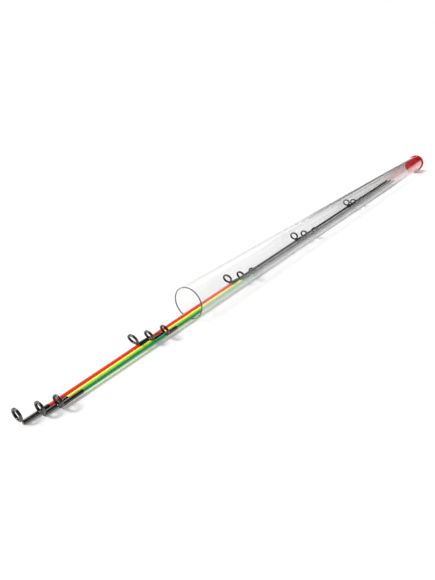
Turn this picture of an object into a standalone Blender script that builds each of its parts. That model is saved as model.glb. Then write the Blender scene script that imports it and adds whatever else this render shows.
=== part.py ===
"""Three spare quiver tips for a feeder rod, lying side by side in a clear storage tube with an end plug.

Metres, +Z up. The tips and the tube run along X: the rings and the open mouth of the tube face -X, the
plug is at +X. The origin lies under the middle of the set, on the surface that the set lies on.
"""

import math

import bmesh
import bpy
from mathutils import Matrix, Vector

MM = 0.001

# Storage tube
TUBE_OUTER_RADIUS = 10.0 * MM
TUBE_WALL = 0.5 * MM
TUBE_LENGTH = 498.0 * MM
TUBE_SIDES = 20

# End plug: a tapered cup pushed closed end first into the far end of the tube, stopped by its flange
PLUG_INSERTION = 14.5 * MM
PLUG_WALL = 1.2 * MM
PLUG_TAPER = 0.3 * MM
PLUG_EDGE = 0.4 * MM
PLUG_FIT = 0.1 * MM
FLANGE_OVERHANG = 0.8 * MM
FLANGE_THICKNESS = 2.6 * MM
FLANGE_SEAT_GAP = 0.1 * MM

# Blank of a tip: a thin rod that thickens toward its butt
TIP_LENGTH = 500.0 * MM
BLANK_FRONT = 0.9 * MM
BLANK_TIP_RADIUS = 0.84 * MM
BLANK_BUTT_RADIUS = 1.1 * MM
BLANK_TAPER_POWER = 0.8
BLANK_PATH_STEPS = 24
BLANK_STEP_GROWTH = 1.6

# Guides: a leaning ring on a short neck, and a flat foot along the top of the blank
RING_OUTER_RADIUS = 3.3 * MM
RING_RIM = 0.5 * MM
RING_DEPTH = 1.1 * MM
RING_EDGE = 0.15 * MM
RING_SIDES = 20
RING_LEAN = math.radians(17.0)
NECK_HEIGHT = 0.4 * MM
NECK_LENGTH = 0.75 * MM
FOOT_THICKNESS = 0.42 * MM
FOOT_LENGTH = 7.6 * MM
FOOT_TOE_THICKNESS = 0.1 * MM
FOOT_TOE_TAPER = 0.4

# Ring inserts: the liner that the line runs through
INSERT_WALL = 0.5 * MM
INSERT_PROUD = 0.12 * MM

# Tip-top: a ring ahead of a short tube that slides over the end of the blank
TOP_RING_DEPTH = 1.0 * MM
TOP_RING_LEAN = math.radians(2.0)
TOP_TUBE_START = 0.7 * MM
TOP_TUBE_END = 7.0 * MM
TOP_TUBE_WALL = 0.13 * MM
TOP_TUBE_SIDES = 12
TOP_NECK_HEIGHT = 0.4 * MM
TOP_NECK_LENGTH = 0.6 * MM
TOP_NECK_SETBACK = 0.1 * MM
TOP_NECK_TAPER = 0.8

# Thread: the whippings over the guides' feet and the binding behind the tip-top's tube
THREAD_BUILD = 0.15 * MM
WHIPPING_START = 1.1 * MM
WHIPPING_LENGTH = 8.4 * MM
BINDING_LENGTH = 6.1 * MM
SLEEVE_END = 0.7 * MM
SLEEVE_END_BUILD = 0.4
SLEEVE_ARC_STEPS = 8

# Clearance between a piece and the blank or the ring that it sits on
FIT = 0.06 * MM

# Each tip: paint, length standing out of the tube's mouth, and its guides' distances from the tip-top
TIPS = {
    "red": ((0.83, 0.045, 0.012), 106.4 * MM, (66.7 * MM, 152.9 * MM, 249.6 * MM, 366.4 * MM)),
    "yellow": ((0.80, 0.93, 0.035), 98.6 * MM, (66.4 * MM, 154.8 * MM, 252.1 * MM, 367.0 * MM)),
    "green": ((0.0, 0.22, 0.045), 92.0 * MM, (68.2 * MM, 157.9 * MM, 259.2 * MM, 376.4 * MM)),
}

# How the tips lie: the red one against the wall, each of the others beside the one before
RED_BUTT_WALL_GAP = 0.22 * MM
RED_BUTT_ANGLE = math.radians(48.7)
RED_FRONT_ASIDE = 0.95 * MM
RED_FRONT_LIFT = 1.05 * MM
FRONT_GAPS = (0.24 * MM, 0.24 * MM)
FRONT_CLIMBS = (math.radians(-1.5), math.radians(15.5))
BUTT_GAPS = (0.46 * MM, 0.44 * MM)
BUTT_FALLS = (math.radians(21.9), math.radians(16.7))
FREE_END_SAG = 0.9 * MM
FREE_END_DRIFT = 0.6 * MM
SAG_REACH = 100.0 * MM
FREE_ROLLS = {
    "red": math.radians(20.0),
    "yellow": math.radians(-8.0),
    "green": math.radians(-20.0),
}
RING_WALL_GAP = 0.22 * MM

# Worked out from the sizes above
TUBE_BORE_RADIUS = TUBE_OUTER_RADIUS - TUBE_WALL
TUBE_BORE_FLAT = TUBE_BORE_RADIUS * math.cos(math.pi / TUBE_SIDES)
FLANGE_RADIUS = TUBE_OUTER_RADIUS + FLANGE_OVERHANG
AXIS_HEIGHT = FLANGE_RADIUS * math.cos(math.pi / TUBE_SIDES)
RING_BORE_RADIUS = RING_OUTER_RADIUS - RING_RIM


def material(name, colour, roughness, metallic=0.0, transmission=0.0):
    """A plain surface: base colour, roughness, metal or not, and how clear it is."""
    surface = bpy.data.materials.new(name)
    surface.use_nodes = True
    shader = surface.node_tree.nodes["Principled BSDF"]
    shader.inputs["Base Color"].default_value = (*colour, 1.0)
    shader.inputs["Roughness"].default_value = roughness
    shader.inputs["Metallic"].default_value = metallic
    shader.inputs["Transmission Weight"].default_value = transmission
    return surface


def placed(name, data, surface, parent, matrix):
    """A new object in its parent's frame."""
    piece = bpy.data.objects.new(name, data)
    bpy.context.scene.collection.objects.link(piece)
    piece.data.materials.append(surface)
    piece.parent = parent
    piece.matrix_local = matrix
    return piece


def finished(bm, name, crease=math.radians(35.0)):
    """The mesh of a closed body, facing out, smooth except at its edges."""
    bmesh.ops.recalc_face_normals(bm, faces=bm.faces)
    mesh = bpy.data.meshes.new(name)
    bm.to_mesh(mesh)
    bm.free()
    mesh.shade_smooth()
    mesh.set_sharp_from_angle(angle=crease)
    return mesh


def turned(section, sides):
    """A section of (along, out) points turned round the X axis, with a flat facet straight below it.

    The section is a closed loop, or it starts and ends on the axis.
    """
    bm = bmesh.new()
    half_step = math.pi / sides
    corners = []
    for along, out in section:
        spot = (along, out * math.sin(half_step), -out * math.cos(half_step))
        corners.append(bm.verts.new(spot))
    edges = [bm.edges.new(pair) for pair in zip(corners, corners[1:])]
    if section[0][1] > 0.0:
        edges.append(bm.edges.new((corners[-1], corners[0])))
    bmesh.ops.spin(
        bm,
        geom=corners + edges,
        axis=(1.0, 0.0, 0.0),
        cent=(0.0, 0.0, 0.0),
        angle=2.0 * math.pi,
        steps=sides,
        use_merge=True,
    )
    bmesh.ops.remove_doubles(bm, verts=bm.verts, dist=FIT / 100.0)
    return bm


def lofted(loops):
    """A closed sleeve through loops of points, each joined to the next and the last to the first."""
    bm = bmesh.new()
    rows = [[bm.verts.new(point) for point in loop] for loop in loops]
    for row, following in zip(rows, rows[1:] + rows[:1]):
        for index in range(len(row)):
            nearest = (index + 1) % len(row)
            bm.faces.new((row[index], row[nearest], following[nearest], following[index]))
    return bm


def blank_radius(distance):
    """Radius of the blank at a distance from the front of its tip."""
    share = min(max(distance / TIP_LENGTH, 0.0), 1.0)
    return BLANK_TIP_RADIUS + (BLANK_BUTT_RADIUS - BLANK_TIP_RADIUS) * share**BLANK_TAPER_POWER


def top_tube_radii():
    """Bore and outside of a tip-top's tube, over its corners."""
    bore = (blank_radius(TOP_TUBE_END) + FIT) / math.cos(math.pi / TOP_TUBE_SIDES)
    return bore, bore + TOP_TUBE_WALL


def resting_lines():
    """For each tip, where its front and its butt lie across the tube: (Y, Z) from the tube's axis."""
    red_out = TUBE_BORE_FLAT - BLANK_BUTT_RADIUS - RED_BUTT_WALL_GAP
    butt = Vector((math.sin(RED_BUTT_ANGLE), -math.cos(RED_BUTT_ANGLE))) * red_out
    front = Vector((RED_FRONT_ASIDE, RED_FRONT_LIFT + TUBE_WALL - TUBE_OUTER_RADIUS))
    lines = {"red": (front, butt)}
    for beside, name in enumerate(("yellow", "green")):
        front_step = 2.0 * top_tube_radii()[1] + FRONT_GAPS[beside]
        butt_step = 2.0 * BLANK_BUTT_RADIUS + BUTT_GAPS[beside]
        climb = FRONT_CLIMBS[beside]
        fall = BUTT_FALLS[beside]
        front = front + Vector((-math.cos(climb), math.sin(climb))) * front_step
        butt = butt - Vector((math.cos(fall), math.sin(fall))) * butt_step
        lines[name] = (front, butt)
    return lines


def on_blank(tip, distance):
    """The point on a tip's centre line at a distance from the foot of its tip-top's ring."""
    line_front, line_butt = LINES[tip]
    along = distance - TIPS[tip][1]
    across = line_front.lerp(line_butt, distance / TIP_LENGTH)
    droop = (min(along, 0.0) / SAG_REACH) ** 2
    aside = across.x + FREE_END_DRIFT * droop
    height = AXIS_HEIGHT + across.y - FREE_END_SAG * droop
    return Vector((along, aside, height))


def wall_roll(tip, distance):
    """The roll at which the ring of a guide there comes up to the wall of the tube."""
    centre = on_blank(tip, distance)
    away = Vector((centre.y, centre.z - AXIS_HEIGHT))
    rise = ring_rise(blank_radius(distance)) * math.cos(RING_LEAN)
    limit = TUBE_BORE_FLAT - RING_OUTER_RADIUS - RING_WALL_GAP
    cosine = (limit**2 - away.length_squared - rise**2) / (2.0 * rise * away.length)
    between = math.acos(max(-1.0, min(1.0, cosine)))
    return math.atan2(away.x, away.y) % math.tau - between


def roll_of(tip):
    """How far a tip rolls over toward +Y: freely, or until one of its rings meets the wall."""
    guides = TIPS[tip][2]
    return min([FREE_ROLLS[tip]] + [wall_roll(tip, distance) for distance in guides])


def seat(tip, distance, length):
    """Frame of a piece that sits on the blank from this distance on: X along it, Z up through the rings."""
    start = on_blank(tip, distance)
    along = (on_blank(tip, distance + length) - start).normalized()
    roll = roll_of(tip)
    up = Vector((0.0, math.sin(roll), math.cos(roll)))
    up = (up - along * up.dot(along)).normalized()
    aside = up.cross(along)
    turn = Matrix((along, aside, up)).transposed().to_4x4()
    return Matrix.Translation(start - on_blank(tip, 0.0)) @ turn


def foot_top(radius):
    return radius + FIT + FOOT_THICKNESS


def ring_rise(radius):
    """Distance of a guide's ring centre from the blank's axis, along the leaning ring."""
    return (foot_top(radius) + NECK_HEIGHT) / math.cos(RING_LEAN) + RING_OUTER_RADIUS


def top_ring_rise():
    """The same for the ring of a tip-top."""
    return (top_tube_radii()[1] + TOP_NECK_HEIGHT) / math.cos(TOP_RING_LEAN) + RING_OUTER_RADIUS


def ring_section(bore, outer, depth, edge):
    """Section of a ring: a straight bore, and a flat outer band with broken edges."""
    half = depth / 2.0
    return [
        (-half, bore),
        (-half, outer - edge),
        (-half + edge, outer),
        (half - edge, outer),
        (half, outer - edge),
        (half, bore),
    ]


def insert_section(depth):
    """Section of an insert: as deep as its ring and a little proud, rounded toward the line."""
    outer = RING_BORE_RADIUS - FIT
    bore = outer - INSERT_WALL
    half = depth / 2.0 + INSERT_PROUD
    middle = (outer + bore) / 2.0
    return [
        (-half, outer),
        (-half, middle),
        (-half / 2.0, bore),
        (half / 2.0, bore),
        (half, middle),
        (half, outer),
    ]


def pulled(bm, face, spots):
    """Extrudes a face of four corners and moves them to these spots. It gives the new end face."""
    grown = bmesh.ops.extrude_face_region(bm, geom=[face])
    end = next(part for part in grown["geom"] if isinstance(part, bmesh.types.BMFace))
    bmesh.ops.delete(bm, geom=[face], context="FACES_ONLY")
    for corner in end.verts:
        side = 1.0 if corner.co.y > 0.0 else -1.0
        corner.co = spots(corner.co, side)
    return end


def ring_with_band(depth):
    """A ring round the X axis with an outer facet straight below, and that facet."""
    bm = turned(ring_section(RING_BORE_RADIUS, RING_OUTER_RADIUS, depth, RING_EDGE), RING_SIDES)
    bmesh.ops.recalc_face_normals(bm, faces=bm.faces)
    bottom = min(bm.faces, key=lambda face: face.calc_center_median().z)
    return bm, bottom


def leaned(lean, rise):
    """Moves a ring from the X axis to its place over the blank, its top toward -X."""
    up = Vector((-math.sin(lean), 0.0, math.cos(lean)))
    return Matrix.Translation(up * rise) @ Matrix.Rotation(-lean, 4, "Y")


def guide_frame(name, radius):
    """Single-foot guide frame for a blank of this radius: ring, neck and foot in one body."""
    bm, bottom = ring_with_band(RING_DEPTH)
    half_width = max(abs(corner.co.y) for corner in bottom.verts)
    bmesh.ops.transform(bm, matrix=leaned(RING_LEAN, ring_rise(radius)), verts=bm.verts)
    top = foot_top(radius)
    floor = radius + FIT
    slant = math.tan(RING_LEAN)
    middle = -top * slant

    def neck(spot, side):
        ahead = -1.0 if spot.x < -(top + NECK_HEIGHT) * slant else 1.0
        return Vector((middle + ahead * NECK_LENGTH / 2.0, side * half_width, top))

    def heel(spot, side):
        return Vector((spot.x, side * half_width, floor))

    def toe(spot, side):
        upper = spot.z > (top + floor) / 2.0
        height = floor + FOOT_TOE_THICKNESS if upper else floor
        return Vector((FOOT_LENGTH, side * half_width * FOOT_TOE_TAPER, height))

    neck_end = pulled(bm, bottom, neck)
    heel_end = pulled(bm, neck_end, heel)
    behind = max(heel_end.edges, key=lambda edge: (edge.verts[0].co.x + edge.verts[1].co.x))
    back = next(face for face in behind.link_faces if face is not heel_end)
    pulled(bm, back, toe)
    return finished(bm, name)


def top_neck(name):
    """The tip-top's leaning ring with its neck, which runs down into the wall of its tube."""
    bm, bottom = ring_with_band(TOP_RING_DEPTH)
    half_width = max(abs(corner.co.y) for corner in bottom.verts)
    bmesh.ops.transform(bm, matrix=leaned(TOP_RING_LEAN, top_ring_rise()), verts=bm.verts)
    middle = bottom.calc_center_median().x
    root = sum(top_tube_radii()) / 2.0 * math.cos(math.pi / TOP_TUBE_SIDES)

    def neck(spot, side):
        behind = 0.0 if spot.x < middle else TOP_NECK_LENGTH
        along = TOP_TUBE_START + TOP_NECK_SETBACK + behind
        return Vector((along, side * half_width * TOP_NECK_TAPER, root))

    pulled(bm, bottom, neck)
    return finished(bm, name)


def sleeve_section(clearance, radius, foot_half_width, top):
    """Line that a taut thread takes round the blank and the foot on it, held off by a clearance."""
    reach = radius + clearance
    corner = Vector((foot_half_width + clearance, top + clearance))
    corner_angle = math.atan2(corner.x, corner.y)
    touch_angle = corner_angle + math.acos(min(1.0, reach / corner.length))
    step = 2.0 * (math.pi - touch_angle) / SLEEVE_ARC_STEPS
    across = reach / math.cos(step / 2.0)
    points = [(corner.x, corner.y)]
    for index in range(SLEEVE_ARC_STEPS + 1):
        angle = touch_angle + index * step
        points.append((across * math.sin(angle), across * math.cos(angle)))
    points.append((-corner.x, corner.y))
    return points


def sleeve(name, start, length, half_width, radius, top):
    """A lacquered wrap of thread from start, thinner at both ends. The last three follow the distance."""
    stations = (0.0, SLEEVE_END, length / 2.0, length - SLEEVE_END, length)
    builds = (SLEEVE_END_BUILD, 1.0, 1.0, 1.0, SLEEVE_END_BUILD)
    outside = []
    inside = []
    for along, build in zip(stations, builds):
        at = start + along
        shape = (radius(at), half_width(at), top(at))
        outer = sleeve_section(FIT + THREAD_BUILD * build, *shape)
        inner = sleeve_section(FIT, *shape)
        outside.append([(at, y, z) for y, z in outer])
        inside.append([(at, y, z) for y, z in inner])
    return finished(lofted(outside + inside[::-1]), name)


def whipping(name, radius):
    """The thread over a guide's foot: it follows the foot's taper down on to the blank."""
    widest = RING_OUTER_RADIUS * math.sin(math.pi / RING_SIDES)
    toe_top = radius + FIT + FOOT_TOE_THICKNESS

    def left(at):
        return min(max(1.0 - at / FOOT_LENGTH, 0.0), 1.0)

    def half_width(at):
        return widest * (FOOT_TOE_TAPER + (1.0 - FOOT_TOE_TAPER) * left(at))

    def top(at):
        return toe_top + (foot_top(radius) - toe_top) * left(at)

    return sleeve(name, WHIPPING_START, WHIPPING_LENGTH, half_width, lambda at: radius, top)


def binding(name, radius):
    """The thread behind the tip-top's tube: a plain round sleeve, flush with the tube."""
    start = TOP_TUBE_END + FIT
    return sleeve(name, start, BINDING_LENGTH, lambda at: 0.0, lambda at: radius, lambda at: radius)


def blank(tip, surface, parent):
    """The rod itself, along the tip's centre line, closer steps where it bends and tapers."""
    curve = bpy.data.curves.new(f"tip_{tip}_blank", "CURVE")
    curve.dimensions = "3D"
    curve.bevel_depth = MM
    curve.bevel_resolution = 3
    curve.use_fill_caps = True
    spline = curve.splines.new("POLY")
    spline.points.add(BLANK_PATH_STEPS)
    origin = on_blank(tip, 0.0)
    for index, point in enumerate(spline.points):
        share = (index / BLANK_PATH_STEPS) ** BLANK_STEP_GROWTH
        distance = BLANK_FRONT + (TIP_LENGTH - BLANK_FRONT) * share
        point.co = (*(on_blank(tip, distance) - origin), 1.0)
        point.radius = blank_radius(distance) / MM
    return placed(curve.name, curve, surface, parent, Matrix())


def tip_top(tip, parts, parent):
    """The ring and tube at the front end, with the insert in the ring and the binding behind the tube."""
    frame = seat(tip, 0.0, TOP_TUBE_END + BINDING_LENGTH)
    radius = blank_radius(TOP_TUBE_END + BINDING_LENGTH)
    bore, outer = top_tube_radii()
    section = [(TOP_TUBE_START, bore), (TOP_TUBE_START, outer), (TOP_TUBE_END, outer), (TOP_TUBE_END, bore)]
    tube = finished(turned(section, TOP_TUBE_SIDES), f"tip_{tip}_top_frame")
    piece = placed(tube.name, tube, parts["frame"], parent, frame)

    neck = placed(f"tip_{tip}_top_neck", top_neck("top_neck"), parts["frame"], parent, frame)
    neck.hide_render = True
    neck.display_type = "WIRE"
    join = piece.modifiers.new("join the ring", "BOOLEAN")
    join.operation = "UNION"
    join.solver = "EXACT"
    join.object = neck

    insert = finished(turned(insert_section(TOP_RING_DEPTH), RING_SIDES), f"tip_{tip}_top_ring")
    placed(insert.name, insert, parts["insert"], parent, frame @ leaned(TOP_RING_LEAN, top_ring_rise()))
    wrap = binding(f"tip_{tip}_top_binding", radius)
    placed(wrap.name, wrap, parts["thread"], parent, frame)


def guide(tip, number, distance, parts, parent):
    """One single-foot guide on the blank: frame, insert and whipping."""
    name = f"tip_{tip}_guide_{number}"
    length = WHIPPING_START + WHIPPING_LENGTH
    frame = seat(tip, distance, length)
    radius = blank_radius(distance + length)
    metal = guide_frame(f"{name}_frame", radius)
    placed(metal.name, metal, parts["frame"], parent, frame)
    insert = finished(turned(insert_section(RING_DEPTH), RING_SIDES), f"{name}_ring")
    place = frame @ leaned(RING_LEAN, ring_rise(radius))
    placed(insert.name, insert, parts["insert"], parent, place)
    wrap = whipping(f"{name}_whipping", radius)
    placed(wrap.name, wrap, parts["thread"], parent, frame)


def quiver_tip(tip, parts, root):
    """A whole tip: its empty lies on the blank's axis at the front end."""
    colour, reach, guides = TIPS[tip]
    hub = bpy.data.objects.new(f"tip_{tip}", None)
    bpy.context.scene.collection.objects.link(hub)
    hub.parent = root
    hub.location = on_blank(tip, 0.0)
    hub.empty_display_size = TUBE_OUTER_RADIUS
    blank(tip, material(f"{tip} paint", colour, 0.3), hub)
    tip_top(tip, parts, hub)
    for number, distance in enumerate(guides, start=1):
        guide(tip, number, distance, parts, hub)


def storage_tube(root):
    """The clear pipe, from its mouth at X = 0."""
    bore = TUBE_BORE_RADIUS
    outer = TUBE_OUTER_RADIUS
    section = [(0.0, bore), (0.0, outer), (TUBE_LENGTH, outer), (TUBE_LENGTH, bore)]
    mesh = finished(turned(section, TUBE_SIDES), "storage_tube")
    clear = material("clear plastic", (0.95, 0.96, 0.97), 0.05, transmission=1.0)
    placed(mesh.name, mesh, clear, root, Matrix.Translation((0.0, 0.0, AXIS_HEIGHT)))


def end_plug(root):
    """The red cup in the far end: closed end toward the tips, flange against the end of the tube."""
    body = TUBE_BORE_RADIUS - PLUG_FIT
    nose = body - PLUG_TAPER
    seat_face = TUBE_LENGTH + FLANGE_SEAT_GAP
    inner = TUBE_LENGTH - PLUG_INSERTION
    outer_face = seat_face + FLANGE_THICKNESS
    floor = inner + PLUG_WALL
    section = [
        (inner, 0.0),
        (inner, nose - PLUG_EDGE),
        (inner + PLUG_EDGE, nose),
        (seat_face, body),
        (seat_face, FLANGE_RADIUS - PLUG_EDGE),
        (seat_face + PLUG_EDGE, FLANGE_RADIUS),
        (outer_face - PLUG_EDGE, FLANGE_RADIUS),
        (outer_face, FLANGE_RADIUS - PLUG_EDGE),
        (outer_face, body - PLUG_WALL),
        (floor, nose - PLUG_WALL),
        (floor, 0.0),
    ]
    mesh = finished(turned(section, TUBE_SIDES), "end_plug")
    red = material("red plastic", (0.75, 0.012, 0.02), 0.35)
    placed(mesh.name, mesh, red, root, Matrix.Translation((0.0, 0.0, AXIS_HEIGHT)))


def centre_over_origin(root):
    """Slides the whole set along X until its middle is over the origin."""
    bpy.context.view_layer.update()
    graph = bpy.context.evaluated_depsgraph_get()
    reach = []
    for piece in bpy.context.scene.objects:
        if piece.type == "EMPTY" or piece.hide_render:
            continue
        seen = piece.evaluated_get(graph)
        reach += [(seen.matrix_world @ corner.co).x for corner in seen.to_mesh().vertices]
        seen.to_mesh_clear()
    root.location.x = -(min(reach) + max(reach)) / 2.0
    bpy.context.view_layer.update()


for leftover in list(bpy.data.objects):
    bpy.data.objects.remove(leftover)

LINES = resting_lines()
SET = bpy.data.objects.new("tip_set", None)
bpy.context.scene.collection.objects.link(SET)
PARTS = {
    "frame": material("gunmetal", (0.10, 0.10, 0.11), 0.3, metallic=1.0),
    "insert": material("black ceramic", (0.012, 0.012, 0.014), 0.15),
    "thread": material("lacquered thread", (0.012, 0.011, 0.010), 0.12),
}
storage_tube(SET)
end_plug(SET)
for tip_name in TIPS:
    quiver_tip(tip_name, PARTS, SET)
centre_over_origin(SET)
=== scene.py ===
"""Three spare quiver tips for a feeder rod in their clear storage tube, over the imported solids.

Metres, +Z up, in the frame of the solids: the tube's mouth is toward -X and the plug is at +X.
"""

import math

import bmesh
import bpy
from mathutils import Matrix, Vector


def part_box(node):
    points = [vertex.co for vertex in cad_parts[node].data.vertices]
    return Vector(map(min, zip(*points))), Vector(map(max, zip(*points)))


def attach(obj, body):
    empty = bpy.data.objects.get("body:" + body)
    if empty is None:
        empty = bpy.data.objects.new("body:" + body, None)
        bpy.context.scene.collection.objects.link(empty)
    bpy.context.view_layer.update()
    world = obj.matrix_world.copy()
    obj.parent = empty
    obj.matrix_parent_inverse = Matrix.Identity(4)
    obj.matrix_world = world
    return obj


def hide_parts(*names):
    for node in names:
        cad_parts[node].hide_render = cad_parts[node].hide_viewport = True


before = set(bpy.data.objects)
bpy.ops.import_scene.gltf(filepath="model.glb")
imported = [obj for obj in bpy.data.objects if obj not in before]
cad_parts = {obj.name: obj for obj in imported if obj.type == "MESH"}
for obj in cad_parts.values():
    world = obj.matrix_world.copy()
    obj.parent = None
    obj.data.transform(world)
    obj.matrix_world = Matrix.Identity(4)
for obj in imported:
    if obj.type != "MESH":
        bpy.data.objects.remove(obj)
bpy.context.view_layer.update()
MM = 0.001


# Storage tube: a length of extruded clear plastic pipe, open at both ends and sawn off square, in
# which the tips lie loose. Years in a tackle box have scuffed it. Its lower near side toward the
# mouth is painted milky white with a faint glow: a painted reflection of the white floor. Its rims,
# its lower wall seen edge-on and a band of its upper wall are painted dark: painted shade, for the
# dark lines that clear plastic shows there.
TUBE_RADIUS = 10.0 * MM
TUBE_WALL = 0.5 * MM
TUBE_SIDES = 144
RIM_ROUNDING = 0.14 * MM
RIM_BAND = 0.8 * MM
PAINTED_SHADE_COLOUR = (0.035, 0.035, 0.037, 1.0)
RIM_STRENGTH = 0.95
FAR_RIM_SHARE = 0.2
CLEAR_TINT = (0.996, 0.995, 0.995, 1.0)
HEAD_ON_MIRROR = 0.036
MIRROR_FALLOFF = 5.4
MILKY_DARK = (0.86, 0.87, 0.88, 1.0)
MILKY_PALE = (0.97, 0.97, 0.97, 1.0)
HAZE = 0.003
SCUFF_HAZE = 0.008
PAINTED_REFLECTION_LENGTH = 420.0 * MM
PAINTED_REFLECTION = 0.24
UNDERSIDE_TOP = 0.3 * TUBE_RADIUS
UNDERSIDE_FULL = -0.15 * TUBE_RADIUS
LOW_LINE_STRENGTH = 0.8
LOW_LINE_FACING = (0.80, 0.88)
LOW_LINE_GONE = 50.0 * MM
LOW_LINE_WHOLE = 160.0 * MM
HIGH_BAND_STRENGTH = 0.09
HIGH_BAND_FACING = (0.28, 0.75)
HIGH_BAND_STARTS = 130.0 * MM
HIGH_BAND_WHOLE = 260.0 * MM
HIGH_BAND_EASES = 60.0 * MM
HIGH_BAND_ENDS = 18.0 * MM
LIGHT_PASSED = 0.55
PAINTED_GLOW = 0.16

tube_low, tube_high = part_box("storage_tube")
mouth = tube_low[0]
far_end = tube_high[0]
axis_height = (tube_low[2] + tube_high[2]) / 2.0


class Reading:
    """A socket in a node tree. Arithmetic on it adds Math nodes, and [name] gives its neighbour."""

    def __init__(self, bench, socket):
        self.bench = bench
        self.socket = socket

    def __getitem__(self, name):
        return Reading(self.bench, self.socket.node.outputs[name])

    def worked(self, operation, first, second):
        return self.bench.node("ShaderNodeMath", {"operation": operation}, {0: first, 1: second})

    def __add__(self, other):
        return self.worked("ADD", self, other)

    def __radd__(self, other):
        return self.worked("ADD", other, self)

    def __sub__(self, other):
        return self.worked("SUBTRACT", self, other)

    def __rsub__(self, other):
        return self.worked("SUBTRACT", other, self)

    def __mul__(self, other):
        return self.worked("MULTIPLY", self, other)

    def __rmul__(self, other):
        return self.worked("MULTIPLY", other, self)

    def __truediv__(self, other):
        return self.worked("DIVIDE", self, other)

    def __pow__(self, other):
        return self.worked("POWER", self, other)


class Bench:
    """A node tree and the one way of adding a node to it."""

    def __init__(self, tree):
        self.tree = tree

    def node(self, kind, settings=None, values=None):
        node = self.tree.nodes.new(kind)
        for name, value in (settings or {}).items():
            setattr(node, name, value)
        for name, value in (values or {}).items():
            if isinstance(value, Reading):
                self.tree.links.new(value.socket, node.inputs[name])
            else:
                node.inputs[name].default_value = value
        return Reading(self, node.outputs[0]) if len(node.outputs) else None

    def between(self, low, high, value):
        """0 where the value is at the low end, 1 at the high end, eased."""
        settings = {"interpolation_type": "SMOOTHSTEP"}
        values = {"Value": value, "From Min": low, "From Max": high}
        return self.node("ShaderNodeMapRange", settings, values)

    def noise(self, place, scale, stretch=(1.0, 1.0, 1.0), detail=3.0):
        """Noise of this many lumps a metre, drawn out along an axis whose stretch is below 1."""
        spot = self.node("ShaderNodeMapping", {}, {"Vector": place, "Scale": stretch})
        values = {"Vector": spot, "Scale": scale, "Detail": detail}
        return self.node("ShaderNodeTexNoise", {}, values)

    def mixed(self, share, first, second):
        """From the first colour to the second."""
        return self.node("ShaderNodeMix", {"data_type": "RGBA"}, {0: share, 6: first, 7: second})[2]

    def bumped(self, height, depth, strength):
        """Normals of a surface with this height, 0 to 1, over this depth."""
        values = {"Height": height, "Distance": depth, "Strength": strength}
        return self.node("ShaderNodeBump", {}, values)


def started(name):
    """A new material, its bench, and a point on the piece in metres."""
    surface = bpy.data.materials.new(name)
    surface.use_nodes = True
    surface.node_tree.nodes.clear()
    bench = Bench(surface.node_tree)
    place = bench.node("ShaderNodeTexCoord")["Object"]
    return surface, bench, place


def closed(bench, **values):
    """Ends a material in a Principled surface with these sockets, named with _ for a space."""
    named = {name.replace("_", " "): value for name, value in values.items()}
    shader = bench.node("ShaderNodeBsdfPrincipled", {}, named)
    bench.node("ShaderNodeOutputMaterial", {}, {"Surface": shader})


def turned(section, sides, place):
    """A section of (along, out) points turned round X, a loop or open with ends on the axis."""
    bm = bmesh.new()
    rings = []
    for along, out in section:
        if out == 0.0:
            rings.append([bm.verts.new(place @ Vector((along, 0.0, 0.0)))] * sides)
            continue
        ring = []
        for index in range(sides):
            angle = math.tau * index / sides
            spot = Vector((along, out * math.sin(angle), out * math.cos(angle)))
            ring.append(bm.verts.new(place @ spot))
        rings.append(ring)
    pairs = list(zip(rings, rings[1:]))
    if section[0][1] > 0.0:
        pairs.append((rings[-1], rings[0]))
    for ring, following in pairs:
        for index in range(sides):
            beside = (index + 1) % sides
            corners = [ring[index], ring[beside], following[beside], following[index]]
            bm.faces.new(list(dict.fromkeys(corners)))
    bmesh.ops.recalc_face_normals(bm, faces=bm.faces)
    return bm


def dressed(name, mesh, surface, body, node, crease=40.0):
    """A finished piece from a mesh or a bmesh, riding its body and standing for its node."""
    if isinstance(mesh, bmesh.types.BMesh):
        bm = mesh
        mesh = bpy.data.meshes.new(name)
        bm.to_mesh(mesh)
        bm.free()
    mesh.shade_smooth()
    mesh.set_sharp_from_angle(angle=math.radians(crease))
    mesh.materials.clear()
    mesh.materials.append(surface)
    piece = bpy.data.objects.new(name, mesh)
    bpy.context.scene.collection.objects.link(piece)
    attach(piece, body)
    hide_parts(node)
    return piece


def rounded(corners, steps=4):
    """A section with each (along, out, rounding) corner turned into a small arc."""
    section = []
    for index, (along, out, rounding) in enumerate(corners):
        corner = Vector((along, out))
        if rounding == 0.0:
            section.append((along, out))
            continue
        before = Vector(corners[index - 1][:2])
        after = Vector(corners[(index + 1) % len(corners)][:2])
        enter = corner + (before - corner).normalized() * rounding
        leave = corner + (after - corner).normalized() * rounding
        for step in range(steps + 1):
            share = step / steps
            spot = enter.lerp(corner, share).lerp(corner.lerp(leave, share), share)
            section.append((spot.x, spot.y))
    return section


tube_axis = Matrix.Translation((0.0, 0.0, axis_height))
tube_bore = TUBE_RADIUS - TUBE_WALL
tube_section = rounded([
    (mouth, tube_bore, RIM_ROUNDING),
    (mouth, TUBE_RADIUS, RIM_ROUNDING),
    (far_end, TUBE_RADIUS, RIM_ROUNDING),
    (far_end, tube_bore, RIM_ROUNDING),
])

clear_plastic, bench, place = started("clear plastic")
along = bench.node("ShaderNodeSeparateXYZ", {}, {"Vector": place})
# Painted shade: a band at each rim is painted dark, strong at the mouth and faint at the far end,
# for the dark line a cut edge of clear plastic shows.
mouth_rim = bench.between(mouth + RIM_BAND, mouth + RIM_BAND / 2.0, along)
far_rim = bench.between(far_end - RIM_BAND, far_end - RIM_BAND / 2.0, along)
painted_rim_shade = mouth_rim + FAR_RIM_SHARE * far_rim
underside = bench.between(axis_height + UNDERSIDE_TOP, axis_height + UNDERSIDE_FULL, along["Z"])
one_side = bench.between(0.0, -TUBE_RADIUS / 4.0, along["Y"])
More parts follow.
